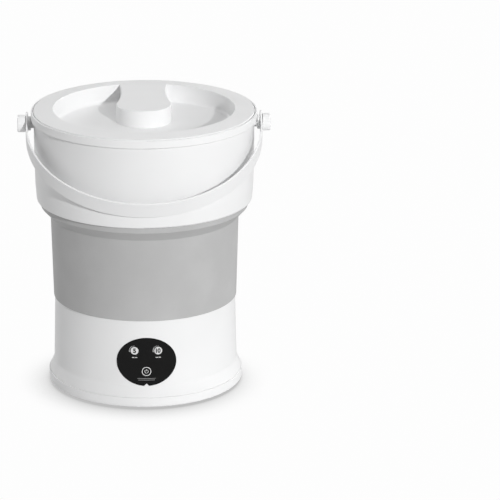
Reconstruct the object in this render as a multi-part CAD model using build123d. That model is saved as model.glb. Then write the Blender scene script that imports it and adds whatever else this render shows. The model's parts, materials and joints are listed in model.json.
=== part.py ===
"""Foldable washing machine, standing open. Millimetres, +Z up, front towards -Y.

The origin is the centre of the base on the surface that its rubber feet stand on.
A white base holds the drive and the wash basin. A soft grey sleeve joins it to a white
ring, which carries the lid and the handle and slides down round the base to fold.
"""

import os
from math import atan2, cos, degrees, hypot, radians, sin, sqrt, tan

from build123d import *

os.makedirs("parts", exist_ok=True)

# Driving sizes of the base
base_top_radius = 116.1
base_draft = 2.1
base_wall_height = 85.8
skirt_flare = 6.8
skirt_inset = 0.7
skirt_height = 15.0
seam_height = 15.0
seam_gap = 0.3
foot_gap = 1.5
foot_undercut = 9.5
foot_bead_height = 5.5
rebate_depth = 1.8
rebate_height = 6.2
housing_wall = 2.8
cover_plate = 2.5
register_height = 5.0
register_wall = 2.0
cover_post_radius = 5.6
basin_post_length = 30.0
bottom_post_top = 40.0
post_web = (12.0, 2.4, 20.0)
post_web_start = 1.4
vent_length = 34.0
vent_width = 3.2
vent_pitch = 7.0
vent_count = 5
lip_gap_margin = 1.5
lip_gap_inside = 16.0

# Driving sizes of the round lens on the front and what is behind it
lens_half_width = 37.7
lens_half_height = 31.9
lens_rise = 31.5
lens_thickness = 1.5
lens_proud = 0.3
lens_gap = 0.15
lens_notch_half_width = 3.5
lens_notch_depth = 3.4
timer_key_offset = 15.0
timer_key_rise = 14.8
power_key_drop = 12.5
key_hole_radius = 6.0
key_spring_radius = 4.8
key_spring_wall = 0.6
board_width = 62.0
board_height = 50.0
board_thickness = 1.6
board_rise = 1.5
board_behind_wall = 9.0
board_post_radius = 3.2
board_post_inset = 4.5
motor_plug = (15.0, 11.0, 12.0)
motor_plug_place = (-16.0, -12.0)
supply_plug = (12.0, 7.0, 8.0)
supply_plug_place = (2.0, -14.0)
lead_radius = 1.5
lead_run_to_plug = 16.0
motor_lead_front = 30.0
motor_lead_bend = 12.0
supply_lead_side = 36.0
supply_lead_back = 60.0
supply_lead_front = 40.0
supply_lead_bend = 6.0

# Driving sizes of the wash basin
basin_wall = 2.6
basin_margin = 14.6
basin_draft = 4.0
basin_floor_height = 72.0
basin_corner_radius = 14.0
basin_rim_thickness = 2.5
hub_radius = 15.0
hub_foot_height = 30.0
basin_screw_count = 8
basin_screw_inset = 7.5
basin_screw_length = 13.0
basin_screw_turn = 22.5
basin_rib = (2.2, 9.0)

# Driving sizes of the drive
shaft_radius = 4.0
running_clearance = 0.05
bush_wall = 3.0
bush_length = 10.0
bush_spacing = 1.5
shaft_room = 1.0
shaft_end_drop = 6.0
shaft_flat_length = 10.0
shaft_flat_reach = 2.8
shaft_fit = 0.02
seal_radius = 10.0
seal_height = 6.0
driven_seat_radius = 40.0
spoke_count = 6
spoke_hole_start = 12.0
spoke_hole_rim = 6.0
spoke_hole_narrow = 8.0
spoke_hole_wide = 22.0
spoke_hole_corner = 3.0
motor_seat_radius = 8.0
belt_width = 6.0
belt_thickness = 1.8
belt_height = 10.0
pulley_flange = 1.0
pulley_flange_rise = 2.6
pulley_distance = 62.0
pulley_clearance = 5.8
motor_angle = 135.0
motor_radius = 18.0
motor_top_gap = 5.2
motor_shaft_radius = 1.6
motor_screw_offset = 12.5
bracket_thickness = 2.0
bracket_margin = 6.0
bracket_screw_length = 12.0
motor_room = 1.5

# Driving sizes of the impeller
impeller_radius = 75.0
impeller_gap = 3.0
impeller_wall = 3.0
impeller_rim_height = 6.0
impeller_crown = 7.0
impeller_hub_radius = 12.0
vane_count = 4
vane_height = 11.0
vane_width = 13.0
cap_radius = 15.0
cap_wall = 4.0
impeller_screw_head = 5.0
sieve_hole_radius = 1.8

# Driving sizes of the drain and the power socket, both at the back
drain_height = 13.5
drain_bore = 4.0
drain_wall = 1.6
drain_flange_radius = 9.3
drain_flange = 2.0
drain_seat_inset = 0.8
drain_barrel = 14.0
drain_inlet_inset = 42.1
drain_inlet_length = 12.0
hose_wall = 1.8
hose_bend = 18.0
plug_head_radius = 8.3
plug_head = 3.0
socket_height = 52.0
socket_radius = 5.5
socket_bore = 2.9
socket_pin = 1.0
socket_flange_radius = 7.6
socket_flange = 1.2
socket_length = 18.0
socket_pocket_depth = 2.2
socket_pocket_margin = 1.6
socket_wall = 2.5
socket_nut_height = 2.5

# Driving sizes of the grey sleeve
sleeve_wall = 2.0
sleeve_low_proud = 1.5
sleeve_height = 107.8
sleeve_spread = 2.8
sleeve_flare_height = 11.8
collar_step = 12.1
collar_height = 8.9
collar_wall = 8.5
sleeve_lip = 2.0
sleeve_lip_reach = 6.5

# Driving sizes of the upper ring, its trim and the clamp inside it
ring_height = 110.1
ring_overhang = 5.0
ring_curve_rise = 19.7
ring_curve_spread = 1.6
ring_top_spread = 0.9
ring_straight_rise = 40.0
ring_wall = 3.0
ring_flange = 2.5
clamp_thickness = 2.5
clamp_screw_count = 12
clamp_screw_turn = 15.0
rim_overhang = 3.5
rim_cover = 5.2
rim_rise = 5.1
rim_ledge_depth = 2.5
rim_lip = 2.2
rim_skirt = 3.2
rim_skirt_cover = 5.4

# Driving sizes of the lid
lid_gap = 0.8
lid_seat_gap = 0.2
lid_edge = 3.2
lid_crown = 2.0
lid_wall = 2.6
lid_margin = 25.0
dish_depth = 22.4
dish_draft = 2.0
dish_corner = 5.0
dish_lip_rounding = 0.9
grip_chamfer = 0.7
grip_bulb_radius = 35.2
grip_bulb_offset = 16.5
grip_neck_half_width = 28.3
grip_neck_offset = 78.0
lid_skirt = 2.6
lid_skirt_depth = 7.5
gasket_gap = 0.4
gasket_reach = 1.8
gasket_height = 3.0

# Driving sizes of the handle
pivot_drop = 11.9
pivot_radius = 4.0
pivot_clearance = 0.08
pivot_boss_radius = 6.2
pivot_flange_radius = 9.0
pivot_flange_gap = 0.4
pivot_flange = 3.1
pivot_head_radius = 6.0
pivot_head = 2.6
strap_thickness = 2.6
strap_width = 22.0
strap_edge_rounding = 0.8
strap_leg = 14.5
strap_tail = 5.5
strap_side_gap = 0.4
strap_rest_gap = 0.8
washer_thickness = 0.4
knob_radius = 11.0
knob_thickness = 10.0

# Driving sizes shared by small fasteners and fits
fit_gap = 0.1
screw_radius = 1.5
screw_head_radius = 2.9
screw_head = 2.0
screw_clearance = 0.3
pilot_depth = 14.0
board_screw_radius = 1.05
post_radius = 4.4
bottom_screw_count = 6
bottom_screw_inset = 11.2
bottom_screw_length = 12.0
bottom_screw_grip = 4.0
foot_pad_radius = 8.0
foot_pad_inset = 22.2
foot_pad_count = 4
foot_pad_seat = 1.5
foot_pad_wall = 2.5
foot_pad_turn = 45.0
root = 0.5

# Places worked out from the driving sizes, from the foot upwards
base_low_radius = base_top_radius + base_draft
foot_radius = base_low_radius + skirt_flare
skirt_foot_radius = foot_radius - skirt_inset
foot_under_radius = foot_radius - foot_undercut
skirt_top_height = seam_height + skirt_height
base_top_height = skirt_top_height + base_wall_height
housing_top_height = base_top_height + rebate_height
rebate_radius = base_top_radius - rebate_depth
plate_top = foot_gap + cover_plate
bottom_screw_circle = base_low_radius - bottom_screw_inset
foot_pad_circle = base_low_radius - foot_pad_inset
lens_height = skirt_top_height + lens_rise
timer_key_height = lens_height + timer_key_rise
power_key_height = lens_height - power_key_drop
board_centre_height = lens_height + board_rise
board_front = base_top_radius - housing_wall - board_behind_wall
sleeve_low_radius = base_top_radius + sleeve_low_proud
basin_rim_low = housing_top_height + sleeve_wall
basin_rim_top = basin_rim_low + basin_rim_thickness
basin_inner_radius = base_top_radius - basin_margin
basin_floor_radius = basin_inner_radius - basin_draft
basin_screw_circle = base_top_radius - basin_screw_inset
basin_under = basin_floor_height - basin_wall
basin_edge_radius = sleeve_low_radius - sleeve_wall - fit_gap
seal_low_height = basin_floor_height + impeller_gap - seal_height
upper_bush_low = seal_low_height - bush_spacing - bush_length
impeller_low = basin_floor_height + impeller_gap
impeller_shoulder = impeller_low + impeller_rim_height
impeller_top = impeller_shoulder + impeller_crown + impeller_wall
shaft_top = impeller_top - shaft_end_drop
bracket_low = hub_foot_height - pulley_clearance
bracket_top = bracket_low + bracket_thickness
motor_length = basin_under - bracket_top - motor_top_gap
motor_x = pulley_distance * cos(radians(motor_angle))
motor_y = pulley_distance * sin(radians(motor_angle))
drain_inlet_offset = base_top_radius - drain_inlet_inset
drain_seat = foot_radius - drain_seat_inset - drain_flange
outside_radius = 1.1 * foot_radius
sleeve_top_radius = sleeve_low_radius + sleeve_spread
sleeve_top_height = base_top_height + sleeve_height
collar_radius = sleeve_top_radius + collar_step
collar_low_height = sleeve_top_height + sleeve_flare_height
collar_inner_radius = collar_radius - collar_wall
ring_low_height = collar_low_height + collar_height
ring_low_radius = collar_radius + ring_overhang
ring_curve_height = ring_low_height + ring_curve_rise
ring_curve_radius = ring_low_radius + ring_curve_spread
ring_top_height = ring_low_height + ring_height
ring_top_radius = ring_curve_radius + ring_top_spread
lip_low_height = ring_low_height + ring_flange
lip_top_height = lip_low_height + sleeve_lip
neck_radius = collar_inner_radius + sleeve_wall
lip_radius = neck_radius + sleeve_lip_reach
rim_radius = ring_top_radius + rim_overhang
rim_low_height = ring_top_height - rim_cover
rim_top_height = ring_top_height + rim_rise
rim_skirt_height = ring_top_height - rim_skirt_cover
rim_inner_radius = ring_top_radius - ring_wall - rim_skirt
ledge_height = rim_top_height - rim_ledge_depth
lid_radius = rim_radius - rim_lip - lid_gap
lid_under = ledge_height + lid_seat_gap
lid_edge_top = lid_under + lid_edge
lid_top = lid_edge_top + lid_crown
dish_radius = lid_radius - lid_margin
dish_floor = lid_top - dish_depth
lid_skirt_radius = rim_inner_radius - gasket_gap - gasket_reach
pivot_height = ring_top_height - pivot_drop
pivot_boss_end = rim_radius + pivot_flange_gap + pivot_flange
strap_half_span = pivot_boss_end + strap_side_gap + strap_thickness


def rounded_outline(points, radii=None):
    """Closed wire in the XY plane through the points, each corner rounded by its own radius."""
    count = len(points)
    radii = radii or [0.0] * count
    corners = []
    for i, radius in enumerate(radii):
        corner = Vector(*points[i])
        back = Vector(*points[i - 1]) - corner
        ahead = Vector(*points[(i + 1) % count]) - corner
        half_turn = radians(back.get_angle(ahead)) / 2
        if radius == 0:
            corners.append((corner, None, corner))
            continue
        back = back.normalized()
        ahead = ahead.normalized()
        run = radius / tan(half_turn)
        middle = corner + (back + ahead).normalized() * (radius / sin(half_turn) - radius)
        corners.append((corner + back * run, middle, corner + ahead * run))
    edges = []
    for i, (start, middle, end) in enumerate(corners):
        if middle is not None:
            edges.append(Edge.make_three_point_arc(start, middle, end))
        following = corners[(i + 1) % count][0]
        if (following - end).length > 1e-6:
            edges.append(Edge.make_line(end, following))
    return Wire(edges)


def turned(points, radii=None):
    """Solid turned about Z from a closed outline of (radius, height) points."""
    profile = Plane.XZ * make_face(rounded_outline(points, radii))
    return revolve(profile, Axis.Z)


def tube(outer, inner, low, high):
    """Upright tube about Z."""
    return turned([(inner, low), (outer, low), (outer, high), (inner, high)])


def rod(radius, low, high):
    """Upright round bar about Z."""
    return Pos(0, 0, low) * Cylinder(radius, high - low, align=(Align.CENTER, Align.CENTER, Align.MIN))


def round_pattern(shape, count, radius, first=0.0):
    """Copies of a shape spread evenly round Z at a radius."""
    turns = [first + 360 * i / count for i in range(count)]
    return [Rot(0, 0, turn) * Pos(radius, 0, 0) * shape for turn in turns]


def outward(shape, turn, height):
    """A shape made along +Z, laid to point away from the Z axis at an angle."""
    return Pos(0, 0, height) * Rot(0, 0, turn) * Rot(0, 90, 0) * shape


def screw(length, head_radius=screw_head_radius, head=screw_head, radius=screw_radius):
    """Pan head screw: the head stands on Z = 0 and the shank goes down."""
    dome = head * 0.45
    return turned(
        [(0, -length), (radius, -length), (radius, 0), (head_radius, 0), (head_radius, head), (0, head)],
        [0, 0, 0, 0, dome, 0],
    )


def save(node, *shapes):
    """One STEP file for a node; several solids stay separate in it."""
    solids = [solid for shape in shapes for solid in shape.solids()]
    part = solids[0] if len(solids) == 1 else Compound(children=solids)
    part.label = node
    export_step(part, f"parts/{node}.step")


def wall_radius(height):
    """Outer radius of the base's tapered wall at a height."""
    share = (height - skirt_top_height) / (base_top_height - skirt_top_height)
    return base_low_radius + (base_top_radius - base_low_radius) * share


def lens_outline(growth):
    """Oval with a small pointed notch in its lower edge, as a face on the XZ plane."""
    half_width = lens_half_width + growth
    half_height = lens_half_height + growth
    oval = Plane.XZ * Ellipse(half_width, half_height)
    edge = -half_height
    tip = edge + lens_notch_depth + growth
    notch_half = lens_notch_half_width - growth
    foot = 2 * edge - tip
    notch = Plane.XZ * make_face(
        Polyline((-2 * notch_half, foot), (0, tip - 2 * growth), (2 * notch_half, foot), close=True)
    )
    return Pos(0, 0, lens_height) * (oval - notch)


def lens_block(growth, inner_offset, outer_offset):
    """The part of the wall's shell that lies behind the lens outline."""
    half_band = lens_half_height * 1.2
    low = lens_height - half_band
    high = lens_height + half_band
    shell = turned(
        [
            (wall_radius(low) + inner_offset, low),
            (wall_radius(low) + outer_offset, low),
            (wall_radius(high) + outer_offset, high),
            (wall_radius(high) + inner_offset, high),
        ]
    )
    depth = foot_radius + outer_offset
    return extrude(lens_outline(growth), depth, dir=(0, -1, 0)) & shell


def key_places():
    """Across and up of the three touch keys."""
    return [
        (-timer_key_offset, timer_key_height),
        (timer_key_offset, timer_key_height),
        (0.0, power_key_height),
    ]


def board_corners():
    """Across and up of the board's four screws."""
    across = board_width / 2 - board_post_inset
    up = board_height / 2 - board_post_inset
    return [(x, board_centre_height + z) for x in (-across, across) for z in (-up, up)]


def base_housing():
    inner_low = base_low_radius - housing_wall
    inner_top = base_top_radius - housing_wall
    shell = turned(
        [
            (skirt_foot_radius - housing_wall, seam_height),
            (skirt_foot_radius, seam_height),
            (base_low_radius, skirt_top_height),
            (base_top_radius, base_top_height),
            (rebate_radius, base_top_height),
            (rebate_radius, housing_top_height),
            (rebate_radius - housing_wall, housing_top_height),
            (inner_top, base_top_height - rebate_height),
            (inner_low, skirt_top_height + housing_wall),
        ],
        [0, 1.2, 6, 0.6, 0, 0.5, 0, 3, 5],
    )
    half_wall = housing_wall / 2
    middle_of_wall = turned(
        [
            (0, seam_height),
            (base_low_radius - half_wall, seam_height),
            (base_top_radius - half_wall, base_top_height - rebate_height),
            (rebate_radius - half_wall, housing_top_height),
            (0, housing_top_height),
        ]
    )
    inner_parts = []
    basin_post = rod(post_radius, housing_top_height - basin_post_length, housing_top_height)
    inner_parts += around_basin(basin_post)
    bottom_post = rod(post_radius, seam_height + register_height, seam_height + bottom_post_top)
    web_middle = seam_height + bottom_post_top - post_web[2] / 2
    web = Pos(post_web[0] / 2 + post_web_start, 0, web_middle) * Box(*post_web)
    inner_parts += round_pattern(bottom_post + web, bottom_screw_count, bottom_screw_circle)
    board_post = rod(board_post_radius, board_front, base_low_radius)
    for across, up in board_corners():
        inner_parts.append(Pos(across, 0, up) * Rot(90, 0, 0) * board_post)
    socket_pad = rod(
        socket_flange_radius + socket_pocket_margin + housing_wall,
        socket_pad_face(),
        base_low_radius,
    )
    inner_parts.append(outward(socket_pad, 90, socket_height))
    for piece in inner_parts:
        shell += piece & middle_of_wall
    past_wall = 5.0
    shell -= lens_block(lens_gap, -lens_thickness - fit_gap, past_wall)
    for across, up in key_places():
        shell -= Pos(across, 0, up) * Rot(90, 0, 0) * rod(key_hole_radius, board_front, foot_radius)
    pilot = rod(screw_radius + fit_gap / 2, housing_top_height - pilot_depth, housing_top_height)
    for hole in around_basin(pilot):
        shell -= hole
    pilot = rod(screw_radius + fit_gap / 2, seam_height, seam_height + register_height + pilot_depth)
    for hole in round_pattern(pilot, bottom_screw_count, bottom_screw_circle):
        shell -= hole
    pilot = rod(board_screw_radius + fit_gap / 2, board_front - 1, board_front + pilot_depth / 2 - 1)
    for across, up in board_corners():
        shell -= Pos(across, 0, up) * Rot(90, 0, 0) * pilot
    pocket_floor = wall_radius(socket_height) - socket_pocket_depth
    pocket = rod(socket_flange_radius + socket_pocket_margin, pocket_floor, foot_radius)
    bore = rod(socket_radius + fit_gap, basin_inner_radius, foot_radius)
    shell -= outward(pocket + bore, 90, socket_height)
    shell -= drain_cut()
    return shell


def around_basin(shape):
    """Copies of a shape at the screws that hold the basin's rim down."""
    return round_pattern(shape, basin_screw_count, basin_screw_circle, basin_screw_turn)


def around_feet(shape):
    """Copies of a shape at the rubber feet, the middle one first."""
    return [shape, *round_pattern(shape, foot_pad_count, foot_pad_circle, foot_pad_turn)]


def around_clamp(shape):
    """Copies of a shape at the screws that pass through the sleeve's lip."""
    circle = neck_radius + fit_gap + screw_radius * 2.2
    return round_pattern(shape, clamp_screw_count, circle, clamp_screw_turn)


def socket_pad_face():
    """Distance from the axis to the inner face of the pad behind the power socket."""
    return base_low_radius - housing_wall - socket_pocket_depth - socket_wall


def drain_cut():
    """Hole and flange seat of the drain outlet, shared by the housing and the bottom cover."""
    barrel = rod(drain_bore + drain_wall * 2 + fit_gap, basin_inner_radius, outside_radius)
    seat = rod(drain_flange_radius + fit_gap, drain_seat, outside_radius)
    return outward(barrel + seat, 90, drain_height)


def bottom_cover():
    top = seam_height - seam_gap
    lip_outer = skirt_foot_radius - housing_wall - fit_gap * 2
    lip_inner = lip_outer - register_wall
    lean = (skirt_foot_radius - base_low_radius) / (skirt_height + housing_wall)
    narrowing = lean * (register_height + seam_gap) + fit_gap
    cover = turned(
        [
            (0, foot_gap),
            (foot_under_radius, foot_gap),
            (foot_radius, foot_gap + foot_bead_height),
            (foot_radius - 0.3, top),
            (lip_outer, top),
            (lip_outer - narrowing, top + register_height),
            (lip_inner - narrowing, top + register_height),
            (lip_inner, plate_top + 3),
            (lip_inner - 3, plate_top),
            (0, plate_top),
        ],
        [0, 3, 5, 1.2, 0, 0, 0, 2, 2, 0],
    )
    post = rod(cover_post_radius, plate_top - root, seam_height + register_height - fit_gap)
    cover += round_pattern(post, bottom_screw_count, bottom_screw_circle)
    cover += around_feet(rod(foot_pad_radius + foot_pad_wall, plate_top - root, plate_top + foot_pad_seat))
    head_floor = seam_height + register_height - bottom_screw_grip
    well = rod(screw_head_radius + screw_clearance + fit_gap, 0, head_floor)
    well += rod(screw_radius + screw_clearance, head_floor - 1, foot_radius)
    for hole in round_pattern(well, bottom_screw_count, bottom_screw_circle):
        cover -= hole
    for hole in around_feet(rod(foot_pad_radius + fit_gap, 0, foot_gap + foot_pad_seat)):
        cover -= hole
    slot = extrude(SlotOverall(vent_length, vent_width), plate_top + 1)
    for row in range(vent_count):
        cover -= Pos(motor_x, motor_y + vent_pitch * (row - (vent_count - 1) / 2), 0) * slot
    cover -= drain_cut()
    lip_gap = Box(
        2 * (drain_flange_radius + lip_gap_margin),
        2 * lip_gap_inside,
        2 * register_height,
        align=(Align.CENTER, Align.CENTER, Align.MIN),
    )
    return cover - Pos(0, foot_radius, top) * lip_gap


def rubber_feet():
    top = foot_gap + foot_pad_seat
    pad = turned([(0, 0), (foot_pad_radius, 0), (foot_pad_radius, top), (0, top)], [0, 0.8, 0, 0])
    return around_feet(pad)


def bottom_screws():
    one = Rot(180, 0, 0) * screw(bottom_screw_length)
    height = seam_height + register_height - bottom_screw_grip
    return [Pos(0, 0, height) * s for s in round_pattern(one, bottom_screw_count, bottom_screw_circle)]


def standoffs():
    """Places of the three posts under the basin that carry the motor bracket."""
    side = motor_radius + bracket_margin
    ahead = pulley_distance * 0.45
    along = [(-hub_radius - bracket_margin, 0.0), (ahead, side), (ahead, -side)]
    turn = radians(motor_angle)
    return [(u * cos(turn) - v * sin(turn), u * sin(turn) + v * cos(turn)) for u, v in along]


def wash_basin():
    bowl = turned(
        [
            (0, basin_under),
            (basin_floor_radius + basin_wall, basin_under),
            (basin_inner_radius + basin_wall, basin_rim_low),
            (basin_edge_radius, basin_rim_low),
            (basin_edge_radius, basin_rim_top),
            (basin_inner_radius, basin_rim_top),
            (basin_floor_radius, basin_floor_height),
            (0, basin_floor_height),
        ],
        [0, basin_corner_radius + basin_wall, 0, 0, 0.8, 1.5, basin_corner_radius, 0],
    )
    bowl += rod(hub_radius, hub_foot_height, basin_floor_height + 1)
    bowl += rod(seal_radius + basin_wall, basin_floor_height - 1, impeller_low)
    rib_thickness, rib_height = basin_rib
    rib_reach = drain_inlet_offset - basin_corner_radius
    rib = Pos(0, 0, basin_under - rib_height / 2 + root) * Box(2 * rib_reach, rib_thickness, rib_height)
    bowl += rib + Rot(0, 0, 90) * rib
    for x, y in standoffs():
        bowl += Pos(x, y, 0) * rod(post_radius, bracket_top, basin_under + 1)
    inlet_low = basin_under - drain_inlet_length
    inlet_place = Pos(0, drain_inlet_offset, 0)
    bowl += inlet_place * rod(drain_bore + drain_wall, inlet_low, basin_floor_height - 1)
    bowl -= inlet_place * rod(drain_bore, inlet_low, basin_rim_top)
    bowl -= rod(seal_radius, seal_low_height, basin_rim_top)
    bowl -= rod(shaft_radius + bush_wall, hub_foot_height, hub_foot_height + bush_length)
    bowl -= rod(shaft_radius + bush_wall, upper_bush_low, seal_low_height)
    bowl -= rod(shaft_radius + shaft_room, hub_foot_height, basin_rim_top)
    for hole in around_basin(rod(screw_radius + screw_clearance, basin_rim_low, basin_rim_top)):
        bowl -= hole
    for x, y in standoffs():
        bowl -= Pos(x, y, 0) * rod(screw_radius + fit_gap / 2, bracket_top, bracket_top + pilot_depth)
    room = rod(motor_radius + motor_room, bracket_top, bracket_top + motor_length + 2 * motor_room)
    bowl -= Pos(motor_x, motor_y, 0) * room
    return bowl


def basin_screws():
    one = Pos(0, 0, basin_rim_top) * screw(basin_screw_length)
    return around_basin(one)


def shaft_bushes():
    outer = shaft_radius + bush_wall
    inner = shaft_radius + running_clearance
    lower = tube(outer, inner, hub_foot_height, hub_foot_height + bush_length)
    upper = tube(outer, inner, upper_bush_low, upper_bush_low + bush_length)
    return lower, upper


def shaft_seal():
    low = seal_low_height
    high = low + seal_height
    inner = shaft_radius + running_clearance
    return turned(
        [
            (inner, low),
            (seal_radius, low),
            (seal_radius, high),
            (seal_radius - 2, high),
            (seal_radius - 2, low + 1.6),
            (inner + 1.6, low + 1.6),
            (inner + 1.0, high - 1),
            (inner, high - 1),
        ]
    )


def impeller_shaft():
    low = belt_height - pulley_flange - 3.5
    high = shaft_top
    bar = turned([(0, low), (shaft_radius, low), (shaft_radius, high), (0, high)], [0, 0.5, 0.5, 0])
    bar -= tube(shaft_radius + 1, shaft_radius - 0.5, low + 1.0, low + 1.8)
    bar -= rod(screw_radius + fit_gap / 2, high - 10, high)
    return bar - shaft_flat(0.0)


def shaft_flat(gap):
    """What the flat at the shaft's top end takes away, which keys the impeller to it."""
    width = 2 * shaft_radius
    place = Pos(shaft_flat_reach + gap + width / 2, 0, shaft_top - shaft_flat_length / 2)
    return place * Box(width, 3 * shaft_radius, shaft_flat_length)


def impeller():
    low = impeller_low
    rim = impeller_shoulder
    middle = impeller_top
    disc = turned(
        [
            (seal_radius + basin_wall + 4, middle - impeller_wall - 2),
            (impeller_radius - impeller_wall, rim - impeller_wall),
            (impeller_radius - impeller_wall, low),
            (impeller_radius, low),
            (impeller_radius, rim),
            (cap_radius + cap_wall, middle),
            (0, middle),
            (0, middle - impeller_wall - 2),
        ],
        [0, 0, 0, 0, 3, 6, 0, 0],
    )
    disc += rod(impeller_hub_radius - 3, low + 1.5, middle - 1)
    dome = turned(
        [
            (0, rim - 1),
            (impeller_radius - 3, rim - 1),
            (impeller_radius - 3, rim),
            (impeller_radius * 0.62, middle + vane_height - 4),
            (0, middle + vane_height - 4),
        ],
        [0, 0, 0, 14, 0],
    )
    reach = impeller_radius - 3
    bend = reach * 1.1
    half = vane_width / 2
    outline = make_face(
        Line((cap_radius * 0.7, -half), (cap_radius * 0.7, half))
        + RadiusArc((cap_radius * 0.7, half), (reach, half * 1.6), bend)
        + Line((reach, half * 1.6), (reach, half * 0.3))
        + RadiusArc((reach, half * 0.3), (cap_radius * 0.7, -half), -bend)
    )
    vane = extrude(Pos(0, 0, rim - 1) * outline, vane_height * 2 + impeller_crown) & dome
    vane = Rot(0, 0, -8) * vane
    for turn in range(vane_count):
        disc += Rot(0, 0, 360 * turn / vane_count) * vane
    disc += turned(
        [(0, middle - 2), (cap_radius, middle - 2), (cap_radius, middle + 4), (0, middle + 4)], [0, 0, 2, 0]
    )
    above = middle + 20
    disc -= rod(cap_radius - cap_wall, middle + 1, above)
    disc -= rod(shaft_radius + shaft_fit, low, shaft_top) - shaft_flat(shaft_fit)
    disc -= rod(screw_radius + screw_clearance, shaft_top, above)
    for ring_radius, count in ((impeller_radius * 0.5, 8), (impeller_radius * 0.78, 12)):
        for hole in round_pattern(rod(sieve_hole_radius, low, above), count, ring_radius, 24):
            disc -= hole
    return disc


def impeller_screw():
    return Pos(0, 0, impeller_top + 1) * screw(pilot_depth, head_radius=impeller_screw_head)


def impeller_cap():
    low = impeller_top + 1
    radius = cap_radius - cap_wall - fit_gap
    cap = turned(
        [(0, low), (radius, low), (radius, low + 4), (0, low + 5)],
        [0, 0, 1, 0],
    )
    return cap - rod(impeller_screw_head + 0.6, 0, low + screw_head + 0.6)


def pulley(seat_radius, bore_radius, hub_height):
    """Flat belt pulley with two flanges; the belt's band starts at the belt height."""
    low = belt_height - pulley_flange
    high = belt_height + belt_width + pulley_flange
    rise = seat_radius + pulley_flange_rise
    return turned(
        [
            (bore_radius, low),
            (rise, low),
            (rise, belt_height - fit_gap),
            (seat_radius, belt_height - fit_gap),
            (seat_radius, belt_height + belt_width + fit_gap),
            (rise, belt_height + belt_width + fit_gap),
            (rise, high),
            (bore_radius + bush_wall, high),
            (bore_radius + bush_wall, hub_height),
            (bore_radius, hub_height),
        ]
    )


def driven_pulley():
    wheel = pulley(driven_seat_radius, shaft_radius, belt_height + belt_width + 4)
    start = spoke_hole_start
    end = driven_seat_radius - spoke_hole_rim
    narrow = spoke_hole_narrow / 2
    wide = spoke_hole_wide / 2
    corners = [(start, -narrow), (end, -wide), (end, wide), (start, narrow)]
    outline = make_face(FilletPolyline(*corners, radius=spoke_hole_corner, close=True))
    hole = extrude(outline, belt_height + belt_width + spoke_hole_rim)
    for gap in round_pattern(hole, spoke_count, 0.0):
        wheel -= gap
    return wheel


def pulley_clip():
    low = belt_height - pulley_flange - 2.5
    ring = tube(shaft_radius + 2.4, shaft_radius - 0.45, low + 0.05, low + 0.75)
    return ring - Pos(shaft_radius + 2, 0, low) * Box(8, 4.5, 4)


def motor_pulley():
    wheel = pulley(motor_seat_radius, motor_shaft_radius, belt_height + belt_width + 3)
    return Pos(motor_x, motor_y, 0) * wheel


def motor_shaft():
    return Pos(motor_x, motor_y, 0) * rod(motor_shaft_radius, belt_height - pulley_flange, bracket_top + 6)


def drive_belt():
    inner = make_hull(belt_circles(running_clearance))
    outer = make_hull(belt_circles(belt_thickness))
    return extrude(Pos(0, 0, belt_height) * (outer - inner), belt_width)


def belt_circles(growth):
    """Edges of the two pulley seats, grown by a distance."""
    large = Circle(driven_seat_radius + growth).edges()
    small = (Pos(motor_x, motor_y) * Circle(motor_seat_radius + growth)).edges()
    return large + small


def motor_screw_places():
    turn = radians(motor_angle)
    return [
        (motor_x - side * motor_screw_offset * sin(turn), motor_y + side * motor_screw_offset * cos(turn))
        for side in (-1, 1)
    ]


def motor_bracket():
    circles = Circle(hub_radius + bracket_margin + 3).edges()
    circles += (Pos(motor_x, motor_y) * Circle(motor_radius + 4)).edges()
    for x, y in standoffs():
        circles += (Pos(x, y) * Circle(post_radius + 2)).edges()
    plate = extrude(Pos(0, 0, bracket_low) * make_hull(circles), bracket_thickness)
    plate -= rod(shaft_radius + bush_wall + 6, 0, bracket_top)
    plate -= Pos(motor_x, motor_y, 0) * rod(6.5, 0, bracket_top)
    for x, y in standoffs():
        plate -= Pos(x, y, 0) * rod(screw_radius + screw_clearance, 0, bracket_top)
    for x, y in motor_screw_places():
        plate -= Pos(x, y, 0) * rod(screw_radius + 0.2, 0, bracket_top)
    return plate


def bracket_screws():
    one = Pos(0, 0, bracket_low) * Rot(180, 0, 0) * screw(bracket_screw_length)
    return [Pos(x, y, 0) * one for x, y in standoffs()]


def motor_screws():
    one = Pos(0, 0, bracket_low) * Rot(180, 0, 0) * screw(bracket_thickness + 4)
    return [Pos(x, y, 0) * one for x, y in motor_screw_places()]


def drive_motor():
    top = bracket_top + motor_length
    body = turned(
        [(0, bracket_top), (motor_radius, bracket_top), (motor_radius, top), (0, top)],
        [0, 1.2, 2.5, 0],
    )
    body += rod(6.2, bracket_low, bracket_top + 1)
    body += rod(5, top - 1, top + 2)
    for side in (-1, 1):
        body += Pos(side * 11, 0, top + 1) * Box(4.8, 0.8, 6)
    body -= rod(motor_shaft_radius + running_clearance, 0, bracket_top + 6.3)
    place = Pos(motor_x, motor_y, 0)
    body = place * body
    for x, y in motor_screw_places():
        body -= Pos(x, y, 0) * rod(screw_radius + fit_gap / 2, 0, bracket_top + 5)
    return body


def control_panel():
    return lens_block(0.0, -lens_thickness, lens_proud)


def touch_springs():
    springs = []
    for across, up in key_places():
        behind_lens = wall_radius(up) - lens_thickness - fit_gap
        side = abs(across) + key_spring_radius
        reach = sqrt(behind_lens**2 - side**2)
        coil = tube(key_spring_radius, key_spring_radius - key_spring_wall, board_front, reach)
        pad = rod(key_spring_radius, reach - 1.0, reach)
        springs.append(Pos(across, 0, up) * Rot(90, 0, 0) * (coil + pad))
    return springs


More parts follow.
